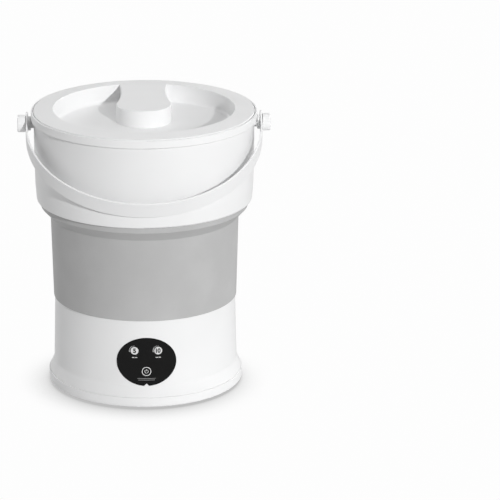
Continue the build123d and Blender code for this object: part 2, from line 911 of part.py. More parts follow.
def control_board():
    middle = -board_front + board_thickness / 2
    sheet = Pos(0, middle, board_centre_height) * Box(board_width, board_thickness, board_height)
    back = -board_front + board_thickness
    blocks = [(motor_plug, motor_plug_place), (supply_plug, supply_plug_place), ((10, 3, 10), (16, -8))]
    for (width, depth, height), (x, z) in blocks:
        sheet += Pos(x, back + depth / 2 - 0.1, board_centre_height + z) * Box(width, depth, height)
    for x, z in ((18, -18), (10, -3)):
        sheet += Pos(x, back + 4, board_centre_height + z) * Rot(90, 0, 0) * Cylinder(3.2, 8.2)
    for across, up in board_corners():
        hole = rod(board_screw_radius + 0.25, board_front - board_behind_wall, board_front + 2)
        sheet -= Pos(across, 0, up) * Rot(90, 0, 0) * hole
    return sheet


def board_screws():
    one = screw(pilot_depth / 2 - 1, head_radius=2.2, head=1.4, radius=board_screw_radius)
    back = -board_front + board_thickness
    return [Pos(across, back, up) * Rot(-90, 0, 0) * one for across, up in board_corners()]


def drain_outlet():
    outer = drain_bore + drain_wall
    start = drain_inlet_offset + hose_bend + 2
    pipe = turned(
        [
            (drain_bore, start),
            (outer, start),
            (outer, drain_seat - drain_barrel),
            (outer + drain_wall, drain_seat - drain_barrel),
            (outer + drain_wall, drain_seat),
            (drain_flange_radius, drain_seat),
            (drain_flange_radius, drain_seat + drain_flange),
            (drain_bore, drain_seat + drain_flange),
        ],
        [0, 0.6, 0, 0, 0, 0, 0.6, 0],
    )
    return outward(pipe, 90, drain_height)


def drain_hose():
    top = basin_under - 1
    end = drain_seat - drain_barrel - 2 * fit_gap
    path = FilletPolyline(
        (0, drain_inlet_offset, top),
        (0, drain_inlet_offset, drain_height),
        (0, end, drain_height),
        radius=hose_bend,
    )
    bore = drain_bore + drain_wall
    section = Plane(origin=path @ 0, z_dir=path % 0)
    outer = sweep(section * Circle(bore + hose_wall), path)
    inner = sweep(section * Circle(bore), path)
    return outer - inner


def drain_plug():
    seat = drain_seat + drain_flange
    plug = turned(
        [
            (0, seat - 11),
            (drain_bore - 0.6, seat - 11),
            (drain_bore - fit_gap, seat - 8),
            (drain_bore - fit_gap, seat + fit_gap),
            (plug_head_radius, seat + fit_gap),
            (plug_head_radius, seat + plug_head),
            (0, seat + plug_head),
        ],
        [0, 0, 0, 0, 0, 1.0, 0],
    )
    tab = Pos(0, 0, seat + plug_head + 1.5) * Box(2.4, 9.0, 4.0)
    tab = fillet(tab.edges().filter_by(Axis.X).group_by(Axis.Z)[-1], 1.5)
    return outward(plug + tab, 90, drain_height)


def power_socket():
    floor = wall_radius(socket_height) - socket_pocket_depth
    face = floor + socket_flange
    body = turned(
        [
            (0, face - socket_length),
            (socket_radius, face - socket_length),
            (socket_radius, floor),
            (socket_flange_radius, floor),
            (socket_flange_radius, face),
            (socket_bore, face),
            (socket_bore, face - 9.5),
            (socket_pin, face - 9.5),
            (socket_pin, face - 1.5),
            (0, face - 1.0),
        ],
        [0, 0.5, 0, 0, 0.5, 0, 0, 0, 0.4, 0],
    )
    return outward(body, 90, socket_height)


def socket_nut():
    start = socket_pad_face() - socket_nut_height
    nut = extrude(Pos(0, 0, start) * RegularPolygon(socket_radius + 3.2, 6), socket_nut_height)
    return outward(nut - rod(socket_radius, 0, foot_radius), 90, socket_height)


def lead(points, bend):
    """Two-core lead held inside the base, from straight runs joined by arcs."""
    path = FilletPolyline(*points, radius=bend)
    return sweep(Plane(origin=path @ 0, z_dir=path % 0) * Circle(lead_radius), path)


def plug_entry(size, place):
    """Middle of the face of a plug on the board, where its lead goes in."""
    return place[0], -board_front + board_thickness + size[1] - 0.1, board_centre_height + place[1]


def motor_lead():
    x, y, z = plug_entry(motor_plug, motor_plug_place)
    top = bracket_top + motor_length - 8
    points = [
        (motor_x, motor_y - motor_radius + lead_radius / 5, top),
        (motor_x, -motor_lead_front, top),
        (x, y + lead_run_to_plug, z),
        (x, y, z),
    ]
    return lead(points, motor_lead_bend)


def supply_lead():
    x, y, z = plug_entry(supply_plug, supply_plug_place)
    face = wall_radius(socket_height) - socket_pocket_depth + socket_flange - socket_length
    side = hub_radius + supply_lead_side
    points = [
        (0, face, socket_height),
        (0, face - 6 * lead_radius, socket_height),
        (side, supply_lead_back, socket_height),
        (side, -supply_lead_front, socket_height),
        (x, y + lead_run_to_plug, z),
        (x, y, z),
    ]
    return lead(points, supply_lead_bend)


def folding_sleeve():
    low = base_top_height + fit_gap
    under = housing_top_height + fit_gap
    over = basin_rim_low - fit_gap
    inner_low = sleeve_low_radius - sleeve_wall
    sleeve = turned(
        [
            (rebate_radius + fit_gap, low),
            (sleeve_low_radius, low),
            (sleeve_top_radius, sleeve_top_height),
            (collar_radius - 1.2, collar_low_height),
            (collar_radius, collar_low_height + 1.2),
            (collar_radius, ring_low_height),
            (neck_radius, ring_low_height),
            (neck_radius, lip_low_height),
            (lip_radius, lip_low_height),
            (lip_radius, lip_top_height),
            (collar_inner_radius, lip_top_height),
            (collar_inner_radius, collar_low_height + 2.5),
            (sleeve_top_radius - sleeve_wall, sleeve_top_height + 1),
            (inner_low, over),
            (basin_inner_radius + basin_wall + 1, over),
            (basin_inner_radius + basin_wall + 1, under),
            (rebate_radius + fit_gap, under),
        ],
        [0, 0.6, 3, 0, 0, 0, 0, 0, 0, 0, 0, 3, 5, 0, 0, 0, 0],
    )
    basin_hole = rod(screw_radius + 0.6, under - 1, over + 1)
    for hole in around_basin(basin_hole):
        sleeve -= hole
    lip_hole = rod(screw_radius + 0.4, lip_low_height - 0.2, lip_top_height + 1)
    for hole in around_clamp(lip_hole):
        sleeve -= hole
    return sleeve


def upper_ring():
    ring = turned(
        [
            (neck_radius + fit_gap, ring_low_height),
            (ring_low_radius, ring_low_height),
            (ring_curve_radius, ring_curve_height),
            (ring_top_radius, ring_curve_height + ring_straight_rise),
            (ring_top_radius, ring_top_height),
            (ring_top_radius - ring_wall, ring_top_height),
            (ring_top_radius - ring_wall, ring_curve_height + ring_straight_rise),
            (ring_curve_radius - ring_wall, ring_curve_height),
            (ring_low_radius - ring_wall - 0.6, lip_low_height),
            (neck_radius + fit_gap, lip_low_height),
        ],
        [0, 2.2, 60, 400, 0.5, 0.5, 400, 40, 0, 0],
    )
    boss = rod(pivot_boss_radius, ring_top_radius - ring_wall / 2, pivot_boss_end)
    boss += rod(pivot_flange_radius, rim_radius + pivot_flange_gap, pivot_boss_end)
    for turn in (0, 180):
        ring += outward(boss, turn, pivot_height)
    pilot = rod(screw_radius + fit_gap / 2, ring_low_height + 0.8, lip_top_height)
    for hole in around_clamp(pilot):
        ring -= hole
    bore = rod(pivot_radius + fit_gap / 2, ring_curve_radius - ring_wall - 6, strap_half_span)
    for turn in (0, 180):
        ring -= outward(bore, turn, pivot_height)
    return ring


def clamp_ring():
    low = lip_top_height
    outer = ring_low_radius - ring_wall - 0.4
    ring = turned(
        [
            (collar_inner_radius, low),
            (outer, low),
            (outer, low + clamp_thickness),
            (collar_inner_radius, low + clamp_thickness),
        ],
        [0, 0, 1.0, 1.0],
    )
    for hole in around_clamp(rod(screw_radius + screw_clearance, low, low + clamp_thickness)):
        ring -= hole
    return ring


def clamp_screws():
    length = clamp_thickness + sleeve_lip + ring_flange - 1.2
    one = Pos(0, 0, lip_top_height + clamp_thickness) * screw(length)
    return around_clamp(one)


def top_rim():
    slot_outer = ring_top_radius + fit_gap
    slot_inner = ring_top_radius - ring_wall - fit_gap
    lip_inner = rim_radius - rim_lip
    return turned(
        [
            (slot_outer, rim_low_height),
            (rim_radius, rim_low_height),
            (rim_radius, rim_top_height),
            (lip_inner, rim_top_height),
            (lip_inner, ledge_height),
            (rim_inner_radius, ledge_height),
            (rim_inner_radius, rim_skirt_height),
            (slot_inner, rim_skirt_height),
            (slot_inner, ring_top_height + fit_gap),
            (slot_outer, ring_top_height + fit_gap),
        ],
        [0.5, 0.8, 1.0, 0.7, 0, 0.8, 0.8, 0.4, 0, 0],
    )


def grip_outline(shrink):
    """Plan of the lid's grip: a round end on a waisted neck that runs to the back edge."""
    bulb = grip_bulb_radius - shrink
    waist = grip_neck_half_width - shrink
    rise = grip_neck_offset - grip_bulb_offset
    sweep_radius = (waist**2 + rise**2 - bulb**2) / (2 * (bulb - waist))
    centre_x = waist + sweep_radius
    reach = hypot(centre_x, rise)
    touch = (bulb * centre_x / reach, grip_bulb_offset + bulb * rise / reach)
    root_y = dish_radius + lid_wall + 1
    root_x = centre_x - sqrt(sweep_radius**2 - (root_y - grip_neck_offset) ** 2)
    front = (0, grip_bulb_offset - bulb)
    return make_face(
        ThreePointArc((-touch[0], touch[1]), front, touch)
        + ThreePointArc(touch, (waist, grip_neck_offset), (root_x, root_y))
        + Line((root_x, root_y), (-root_x, root_y))
        + ThreePointArc((-root_x, root_y), (-waist, grip_neck_offset), (-touch[0], touch[1]))
    )


def lid():
    plate = turned(
        [
            (0, lid_under),
            (lid_radius, lid_under),
            (lid_radius, lid_edge_top),
            (dish_radius, lid_top),
            (0, lid_top),
        ],
        [0, 0.5, 1.3, 0, 0],
    )
    hollow_rim = turned(
        [
            (dish_radius + lid_wall, lid_under - 1),
            (lid_skirt_radius - lid_skirt, lid_under - 1),
            (lid_skirt_radius - lid_skirt, lid_edge_top + 0.2 - lid_wall),
            (dish_radius + lid_wall, lid_top - lid_wall),
        ]
    )
    dish_outer = turned(
        [
            (0, dish_floor - lid_wall),
            (dish_radius - dish_draft + lid_wall, dish_floor - lid_wall),
            (dish_radius + lid_wall, lid_top - lid_wall),
            (0, lid_top - lid_wall),
        ],
        [0, dish_corner + lid_wall, 0, 0],
    )
    dish = turned(
        [
            (0, dish_floor),
            (dish_radius - dish_draft, dish_floor),
            (dish_radius, lid_top),
            (dish_radius + 3, lid_top),
            (dish_radius + 3, lid_top + 5),
            (0, lid_top + 5),
        ],
        [0, dish_corner, dish_lip_rounding, 0, 0, 0],
    )
    shoulder = lid_top - grip_chamfer
    grip = extrude(Pos(0, 0, dish_floor - 1) * grip_outline(0.0), shoulder - dish_floor + 1)
    grip += loft([Pos(0, 0, shoulder) * grip_outline(0.0), Pos(0, 0, lid_top) * grip_outline(grip_chamfer)])
    grip += extrude(Pos(0, 0, lid_top) * grip_outline(grip_chamfer), 10)
    hollow = extrude(Pos(0, 0, dish_floor - lid_wall - 1) * grip_outline(lid_wall), dish_depth + 1)
    core = rod(dish_radius - dish_draft - dish_corner, 0, 2 * lid_top)
    skirt = tube(lid_skirt_radius, lid_skirt_radius - lid_skirt, lid_under - lid_skirt_depth, lid_under + 1)
    groove = tube(
        lid_skirt_radius + 1,
        lid_skirt_radius - 1.0,
        lid_under - lid_skirt_depth / 2 - gasket_height / 2 - 1,
        lid_under - lid_skirt_depth / 2 + gasket_height / 2 - 1,
    )
    body = plate - hollow_rim + dish_outer + skirt - groove
    body = body - (dish - grip)
    return body - (hollow & core)


def lid_gasket():
    low = lid_under - lid_skirt_depth / 2 - gasket_height / 2 - 1
    reach = lid_skirt_radius + gasket_reach
    return turned(
        [
            (lid_skirt_radius - 1.0, low),
            (lid_skirt_radius, low),
            (reach, low + gasket_height * 0.55),
            (reach, low + gasket_height * 0.8),
            (lid_skirt_radius, low + gasket_height),
            (lid_skirt_radius - 1.0, low + gasket_height),
        ]
    )


def strap_height():
    """Distance from the pivots to the strap's middle at the top of the hoop."""
    return strap_leg + strap_half_span - strap_thickness / 2


def handle_rest_angle():
    """Degrees from upright, over the front, at which the strap hangs against the ring."""
    reach = strap_height() - strap_thickness / 2
    half = strap_width / 2
    wall = ring_top_radius + strap_rest_gap
    below_level = degrees(atan2(sqrt(reach**2 + half**2 - wall**2), wall)) - degrees(atan2(half, reach))
    return 90 + below_level


def handle_strap():
    outer = strap_half_span
    inner = strap_half_span - strap_thickness
    tail = strap_tail + strap_width / 2
    hoop = extrude(
        Plane.XZ
        * make_face(
            Polyline((-inner, strap_leg), (-inner, -tail), (-outer, -tail), (-outer, strap_leg))
            + ThreePointArc((-outer, strap_leg), (0, strap_leg + outer), (outer, strap_leg))
            + Polyline((outer, strap_leg), (outer, -tail), (inner, -tail), (inner, strap_leg))
            + ThreePointArc((inner, strap_leg), (0, strap_leg + inner), (-inner, strap_leg))
        ),
        strap_width / 2,
        both=True,
    )
    side = Plane.YZ * (
        Pos(0, outer + strap_leg) * Rectangle(strap_width, 2 * (outer + strap_leg + strap_tail))
        + Pos(0, -strap_tail) * Circle(strap_width / 2)
    )
    hoop = hoop & extrude(side, 2 * outer, both=True)
    long_edges = [edge for edge in hoop.edges() if edge.length > strap_width / 2]
    hoop = fillet(long_edges, strap_edge_rounding)
    bore = rod(pivot_radius + pivot_clearance, inner - 1, outer + 1)
    for turn in (0, 180):
        hoop -= outward(bore, turn, 0)
    return Pos(0, 0, pivot_height) * Rot(handle_rest_angle(), 0, 0) * hoop


def knob_inner_face():
    return strap_half_span + strap_side_gap / 2 + washer_thickness


def knob():
    face = knob_inner_face()
    end = face + knob_thickness
    shape = turned(
        [(0, face), (knob_radius, face), (knob_radius, end), (0, end)],
        [0, 0.6, 1.4, 0],
    )
    return shape - rod(pivot_radius + 0.02, 0, end - 2.5)


def pivot_bolt():
    start = ring_top_radius - ring_wall - pivot_head - 0.2
    end = knob_inner_face() + knob_thickness - 2.7
    return turned(
        [
            (0, start),
            (pivot_head_radius, start),
            (pivot_head_radius, start + pivot_head),
            (pivot_radius, start + pivot_head),
            (pivot_radius, end),
            (0, end),
        ],
        [0, 1.0, 0, 0, 0.5, 0],
    )


def pivot_washer():
    face = knob_inner_face()
    return tube(knob_radius - 1.2, pivot_radius + 0.02, face - washer_thickness, face)


def pivot_pair(shape):
    return [outward(shape, turn, pivot_height) for turn in (0, 180)]


save("base_housing", base_housing())
save("bottom_cover", bottom_cover())
save("rubber_feet", *rubber_feet())
save("bottom_screws", *bottom_screws())
save("wash_basin", wash_basin())
save("basin_screws", *basin_screws())
lower_bush, upper_bush = shaft_bushes()
save("lower_bush", lower_bush)
save("upper_bush", upper_bush)
save("shaft_seal", shaft_seal())
save("impeller_shaft", impeller_shaft())
save("impeller", impeller())
save("impeller_screw", impeller_screw())
save("impeller_cap", impeller_cap())
save("driven_pulley", driven_pulley())
save("pulley_clip", pulley_clip())
save("motor_pulley", motor_pulley())
save("motor_shaft", motor_shaft())
save("drive_belt", drive_belt())
save("motor_bracket", motor_bracket())
save("bracket_screws", *bracket_screws())
save("motor_screws", *motor_screws())
save("drive_motor", drive_motor())
save("control_panel", control_panel())
save("touch_springs", *touch_springs())
save("control_board", control_board())
save("board_screws", *board_screws())
save("drain_outlet", drain_outlet())
save("drain_hose", drain_hose())
save("drain_plug", drain_plug())
save("power_socket", power_socket())
save("socket_nut", socket_nut())
save("motor_lead", motor_lead())
save("supply_lead", supply_lead())
save("folding_sleeve", folding_sleeve())
save("upper_ring", upper_ring())
save("clamp_ring", clamp_ring())
save("clamp_screws", *clamp_screws())
save("top_rim", top_rim())
save("lid", lid())
save("lid_gasket", lid_gasket())
save("handle_strap", handle_strap())
right_knob, left_knob = pivot_pair(knob())
save("handle_knob_right", right_knob)
save("handle_knob_left", left_knob)
save("pivot_bolts", *pivot_pair(pivot_bolt()))
save("pivot_washers", *pivot_pair(pivot_washer()))

print("handle rest angle from upright", round(handle_rest_angle(), 2))
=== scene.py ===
# %% [markdown]
# # Foldable washing machine: looks
# The imported CAD model is the frame. Every CAD node stays where it is and gets a material that is
# worked out in the shader. Three things are made here: the soft sleeve again, a strip along the
# foot's lower edge, and the marks on the black lens.

# %% Load the frame
import math

import bmesh
import bpy
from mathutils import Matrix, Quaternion, Vector
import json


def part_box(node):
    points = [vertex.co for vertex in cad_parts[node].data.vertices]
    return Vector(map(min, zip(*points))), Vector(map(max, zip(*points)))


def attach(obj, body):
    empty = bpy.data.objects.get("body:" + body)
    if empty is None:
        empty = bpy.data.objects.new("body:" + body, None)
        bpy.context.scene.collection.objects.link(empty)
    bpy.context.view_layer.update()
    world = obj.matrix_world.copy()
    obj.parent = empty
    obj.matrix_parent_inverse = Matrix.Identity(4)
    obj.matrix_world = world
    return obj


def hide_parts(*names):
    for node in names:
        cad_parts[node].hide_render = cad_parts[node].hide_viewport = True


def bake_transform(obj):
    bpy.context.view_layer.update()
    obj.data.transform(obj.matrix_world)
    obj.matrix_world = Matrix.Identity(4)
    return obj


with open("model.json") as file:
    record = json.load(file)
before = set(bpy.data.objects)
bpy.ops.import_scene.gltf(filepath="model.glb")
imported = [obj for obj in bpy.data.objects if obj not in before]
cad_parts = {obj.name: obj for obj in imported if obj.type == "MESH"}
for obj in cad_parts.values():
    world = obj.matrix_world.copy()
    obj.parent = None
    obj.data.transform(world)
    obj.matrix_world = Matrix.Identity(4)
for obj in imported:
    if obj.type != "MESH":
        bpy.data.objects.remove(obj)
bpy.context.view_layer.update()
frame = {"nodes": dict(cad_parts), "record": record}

MM = 0.001
nodes = frame["nodes"]

# %% [markdown]
# ## Shader helpers
# A shader is a chain of small sums, and typing each node makes it hard to read. `Value` wraps one
# socket, so that shader maths reads like ordinary maths. `Graph` makes nodes from a type, its
# settings and its inputs, and links whatever is a `Value`. A few tones and linked objects are
# needed all through the file, so they have a helper each.


# %% One socket with arithmetic
class Value:
    """One output socket of a node tree, with arithmetic."""

    def __init__(self, graph, socket):
        self.graph = graph
        self.socket = socket

    def maths(self, operation, first, second):
        node = self.graph.node("ShaderNodeMath", {0: first, 1: second}, operation=operation)
        return Value(self.graph, node.outputs[0])

    def __add__(self, other):
        return self.maths("ADD", self, other)

    def __radd__(self, other):
        return self.maths("ADD", other, self)

    def __sub__(self, other):
        return self.maths("SUBTRACT", self, other)

    def __rsub__(self, other):
        return self.maths("SUBTRACT", other, self)

    def __mul__(self, other):
        return self.maths("MULTIPLY", self, other)

    def __rmul__(self, other):
        return self.maths("MULTIPLY", other, self)

    def __truediv__(self, other):
        return self.maths("DIVIDE", self, other)

    def band(self, low, high):
        """0 below low, 1 above high, smooth between."""
        settings = {"interpolation_type": "SMOOTHSTEP"}
        inputs = {"Value": self, "From Min": low, "From Max": high}
        node = self.graph.node("ShaderNodeMapRange", inputs, **settings)
        return Value(self.graph, node.outputs["Result"])


print("a value adds, takes away, multiplies, divides and makes bands")


# %% A node tree
class Graph:
    """The node tree of a material, the world or a Geometry Nodes group."""

    def __init__(self, tree):
        self.tree = tree
        self.tree.nodes.clear()

    def node(self, kind, inputs=None, **settings):
        made = self.tree.nodes.new(kind)
        for name, value in settings.items():
            setattr(made, name, value)
        for key, value in (inputs or {}).items():
            if isinstance(value, Value):
                self.tree.links.new(value.socket, made.inputs[key])
            else:
                made.inputs[key].default_value = value
        return made

    def value(self, kind, output, inputs=None, **settings):
        return Value(self, self.node(kind, inputs, **settings).outputs[output])

    def place(self):
        """Object coordinates, in metres."""
        return self.value("ShaderNodeTexCoord", "Object")

    def noise(self, scale, detail=3.0, rough=0.55, place=None):
        inputs = {"Vector": place or self.place(), "Scale": scale, "Detail": detail, "Roughness": rough}
        return self.value("ShaderNodeTexNoise", "Fac", inputs)

    def mix(self, factor, first, second):
        inputs = {"Factor": factor, 6: first, 7: second}
        return self.value("ShaderNodeMix", 2, inputs, data_type="RGBA")

    def rounded_edges(self, radius):
        """Normal that rounds the edges by a radius in millimetres."""
        return self.value("ShaderNodeBevel", 0, {"Radius": radius * MM}, samples=4)

    def bump(self, height, strength, depth, normal=None):
        """Normal that follows a height; depth is in millimetres."""
        inputs = {"Strength": strength, "Distance": depth * MM, "Height": height}
        if normal:
            inputs["Normal"] = normal
        return self.value("ShaderNodeBump", "Normal", inputs)


print("a graph makes noise, mixes, bumps and rounded edges")


# %% Colours, materials and linked objects
def rgb(red, green, blue):
    return (red, green, blue, 1.0)


def toned(colour, share, lift=0.0):
    """The same colour, darker or lighter."""
    return tuple(min(1.0, channel * share + lift) for channel in colour[:3]) + (1.0,)


def new_material(name):
    material = bpy.data.materials.new(name)
    material.use_nodes = True
    return material, Graph(material.node_tree)


def finish_material(graph, **inputs):
    """Principled shader with these inputs, joined to the output."""
    names = {name.replace("_", " "): value for name, value in inputs.items()}
    shader = graph.value("ShaderNodeBsdfPrincipled", 0, names)
    graph.node("ShaderNodeOutputMaterial", {"Surface": shader})


def linked(name, data):
    """New object with this mesh, curve, lamp or camera, put in the scene."""
    made = bpy.data.objects.new(name, data)
    bpy.context.scene.collection.objects.link(made)
    return made


print("grey darkened by a tenth", toned(rgb(0.5, 0.5, 0.5), 0.9))

# %% [markdown]
# ## Moulded plastic
# White moulded plastic is not one flat colour: it has a faint drift of tone, a fine orange peel and
# a little unevenness in its gloss. Its edges are never sharp. A bevel in the shader rounds them by a
# third of a millimetre without touching the CAD meshes. All patterns use Object coordinates, which
# are metres here, so a scale of 420 gives a peel of a few millimetres.


# %% Moulded plastic
def moulded(name, tone, rough, edge=0.35):
    """Moulded plastic with drifting tone, fine peel and softened edges."""
    material, graph = new_material(name)
    drift = graph.noise(scale=9.0, detail=2.0)
    peel = graph.noise(scale=420.0, detail=2.0)
    finish_material(
        graph,
        Base_Color=graph.mix(drift.band(0.3, 0.7), toned(tone, 0.965), tone),
        Roughness=rough + (peel - 0.5) * 0.12 + (drift - 0.5) * 0.08,
        IOR=1.47,
        Normal=graph.bump(peel, strength=0.06, depth=0.2, normal=graph.rounded_edges(edge)),
    )
    return material


PLASTICS = {
    "white_shell": {"tone": rgb(0.86, 0.862, 0.864), "rough": 0.34},
    "white_trim": {"tone": rgb(0.875, 0.877, 0.879), "rough": 0.38, "edge": 0.6},
    "white_handle": {"tone": rgb(0.9, 0.902, 0.905), "rough": 0.36, "edge": 0.5},
    "white_fitting": {"tone": rgb(0.82, 0.82, 0.81), "rough": 0.45},
    "basin_plastic": {"tone": rgb(0.74, 0.75, 0.76), "rough": 0.4},
    "impeller_plastic": {"tone": rgb(0.62, 0.65, 0.68), "rough": 0.36, "edge": 0.6},
    "pulley_plastic": {"tone": rgb(0.05, 0.05, 0.055), "rough": 0.5},
    "socket_black": {"tone": rgb(0.018, 0.018, 0.018), "rough": 0.42},
    "washer_dark": {"tone": rgb(0.1, 0.1, 0.1), "rough": 0.5},
}
slot_materials = {name: moulded(name, **look) for name, look in PLASTICS.items()}
print("plastics", len(PLASTICS))

# %% [markdown]
# ## Rubber and silicone
# The sleeve, the gasket, the plug, the belt and the leads are soft and matt. Handling leaves faint
# pale patches on them, so the tone is mixed with a slightly dustier one where a slow noise is high,
# and a skin finer than the plastic's peel breaks up the light.


# %% Rubber and silicone
def soft_rubber(name, tone, rough, skin=0.12):
    """Matt rubber or silicone with a fine skin and faint dusty patches."""
    material, graph = new_material(name)
    drift = graph.noise(scale=14.0, detail=4.0)
    grain = graph.noise(scale=900.0, detail=3.0)
    finish_material(
        graph,
        Base_Color=graph.mix(drift.band(0.35, 0.7), tone, toned(tone, 1.07, lift=0.004)),
        Roughness=rough + (drift - 0.5) * 0.14,
        IOR=1.43,
        Normal=graph.bump(grain, strength=skin, depth=0.2),
    )
    return material


RUBBERS = {
    "sleeve_grey": {"tone": rgb(0.465, 0.465, 0.465), "rough": 0.58},
    "gasket_grey": {"tone": rgb(0.36, 0.37, 0.38), "rough": 0.6},
    "plug_rubber": {"tone": rgb(0.45, 0.46, 0.475), "rough": 0.58},
    "dark_rubber": {"tone": rgb(0.035, 0.035, 0.035), "rough": 0.7, "skin": 0.25},
    "belt_rubber": {"tone": rgb(0.025, 0.025, 0.025), "rough": 0.75, "skin": 0.3},
    "hose_rubber": {"tone": rgb(0.06, 0.06, 0.062), "rough": 0.5},
    "lead_red": {"tone": rgb(0.32, 0.02, 0.018), "rough": 0.4, "skin": 0.05},
    "lead_black": {"tone": rgb(0.02, 0.02, 0.02), "rough": 0.4, "skin": 0.05},
}
slot_materials.update({name: soft_rubber(name, **look) for name, look in RUBBERS.items()})
print("rubbers", len(RUBBERS))

# %% [markdown]
# ## Metal
# Screws, shafts and the motor's can are turned or drawn, which leaves marks that are long one way
# and narrow the other. A noise squeezed along the height gives them. A pressed bracket has no such
# marks, so its noise isn't squeezed.


# %% Metal
def metal(name, tone, rough, squeeze=60.0):
    """Turned or drawn metal with fine marks."""
    material, graph = new_material(name)
    fine = 90.0
    sizes = {"Vector": graph.place(), "Scale": (fine, fine, fine * squeeze)}
    squeezed = graph.value("ShaderNodeMapping", "Vector", sizes)
    marks = graph.noise(scale=6.0, detail=3.0, rough=0.5, place=squeezed)
    finish_material(
        graph,
        Base_Color=graph.mix(marks, toned(tone, 0.86), tone),
        Metallic=1.0,
        Roughness=rough + (marks - 0.5) * 0.2,
        Normal=graph.bump(marks, strength=0.1, depth=0.1),
    )
    return material


METALS = {
    "steel": {"tone": rgb(0.62, 0.62, 0.63), "rough": 0.32},
    "spring_plate": {"tone": rgb(0.72, 0.72, 0.73), "rough": 0.2},
    "bracket_metal": {"tone": rgb(0.56, 0.57, 0.6), "rough": 0.38, "squeeze": 1.0},
    "motor_can": {"tone": rgb(0.5, 0.51, 0.52), "rough": 0.35},
    "bush_brass": {"tone": rgb(0.72, 0.52, 0.24), "rough": 0.3},
}
slot_materials.update({name: metal(name, **look) for name, look in METALS.items()})
print("metals", len(METALS))

# %% [markdown]
# ## Lens, circuit board and ink
# The lens is polished black plastic: nearly no colour of its own, a low gloss value, a few wipe
# marks and grains of dust. The board shows a woven cloth under its green coat. Printed ink is a
# little uneven, which a noise of a millimetre or two gives.


# %% Lens
def lens_material(name):
    """Polished black lens with faint wipe marks and a few grains of dust."""
    material, graph = new_material(name)
    wipe = graph.noise(scale=26.0, detail=4.0)
    dust = graph.noise(scale=1300.0, detail=1.0)
    grains = dust.band(0.72, 0.78)
    finish_material(
        graph,
        Base_Color=graph.mix(grains * 0.25, rgb(0.004, 0.004, 0.004), rgb(0.04, 0.04, 0.04)),
        Roughness=0.07 + wipe.band(0.45, 0.75) * 0.05 + grains * 0.2,
        IOR=1.3,
        Normal=graph.rounded_edges(0.3),
    )
    return material


slot_materials["black_lens"] = lens_material("black_lens")
print("lens ready")


# %% Circuit board
def laminate(name):
    """Circuit board with a fine weave under the green."""
    material, graph = new_material(name)
    threads = {"Vector": graph.place(), "Scale": 400.0, "Distortion": 1.5}
    weave = graph.value("ShaderNodeTexWave", "Fac", threads)
    cover = weave * 0.5 + graph.noise(scale=60.0) * 0.3
    finish_material(
        graph,
        Base_Color=graph.mix(cover, rgb(0.012, 0.11, 0.045), rgb(0.03, 0.2, 0.08)),
        Roughness=0.35 + weave * 0.1,
    )
    return material


slot_materials["board_laminate"] = laminate("board_laminate")
print("board ready")


# %% Ink
def ink(name, tone):
    """Printed ink, a little uneven."""
    material, graph = new_material(name)
    patch = graph.noise(scale=700.0, detail=2.0)
    finish_material(
        graph,
        Base_Color=graph.mix(patch, toned(tone, 0.93), tone),
        Roughness=0.3 + patch * 0.15,
    )
    return material


ink_white = ink("ink_white", rgb(0.76, 0.76, 0.76))
ink_black = ink("ink_black", rgb(0.012, 0.012, 0.012))
ink_grey = ink("ink_grey", rgb(0.3, 0.3, 0.3))
print("inks ready")

# %% Dress the CAD nodes
for row in frame["record"]["subparts"]:
    shown = nodes[row["node"]]
    shown.data.materials.clear()
    shown.data.materials.append(slot_materials[row["material_slot"]])

# %% [markdown]
# ## Turned shapes
# The sleeve and the strip on the foot are both turned: an outline goes round the machine's axis. The
# outline is a list of corners, each with its own rounding, so that the script keeps only the points
# that the shape needs. A spin is safer here than a Screw modifier, because the ends of an open turn
# can be closed at once and the mesh is final before it rides on anything.


# %% Outlines
CORNER_STEPS = 6
ROW_DECIMALS = 4


def rotated(arrow, turn):
    """A flat vector turned by an angle."""
    return Vector(
        (
            arrow.x * math.cos(turn) - arrow.y * math.sin(turn),
            arrow.x * math.sin(turn) + arrow.y * math.cos(turn),
        )
    )


def rounded_profile(corners):
    """Closed outline of (radius, height) points from corners of (radius, height, rounding)."""
    made = []
    points = [Vector(corner[:2]) for corner in corners]
    for i, corner in enumerate(points):
        rounding = corners[i][2]
        if rounding == 0:
            made.append(corner)
            continue
        back = (points[i - 1] - corner).normalized()
        ahead = (points[(i + 1) % len(points)] - corner).normalized()
        half_turn = back.angle(ahead) / 2
        centre = corner + (back + ahead).normalized() * (rounding / math.sin(half_turn))
        first = corner + back * (rounding / math.tan(half_turn)) - centre
        last = corner + ahead * (rounding / math.tan(half_turn)) - centre
        swing = first.angle_signed(last)
        made += [centre + rotated(first, -swing * step / CORNER_STEPS) for step in range(CORNER_STEPS + 1)]
    return made


def finer(points, longest):
    """The same closed outline with long runs cut into rows.

    The rounding keeps a run that is two rows long from becoming three by a hair.
    """
    made = []
    for i, point in enumerate(points):
        following = points[(i + 1) % len(points)]
        rows = max(1, math.ceil(round((following - point).length / longest, ROW_DECIMALS)))
        made += [point.lerp(following, row / rows) for row in range(rows)]
    return made


print("steps on each rounded corner", CORNER_STEPS)

# %% Turned meshes
SEGMENTS = 192
SHARP_ANGLE = 35.0


def tidy_mesh(mesh, sharp=SHARP_ANGLE):
    """Faces outward, smooth shading, edges past the sharp angle in degrees kept."""
    work = bmesh.new()
    work.from_mesh(mesh)
    bmesh.ops.recalc_face_normals(work, faces=work.faces)
    for face in work.faces:
        face.smooth = True
    for edge in work.edges:
        if len(edge.link_faces) == 2:
            edge.smooth = edge.calc_face_angle() < math.radians(sharp)
    work.to_mesh(mesh)
    work.free()


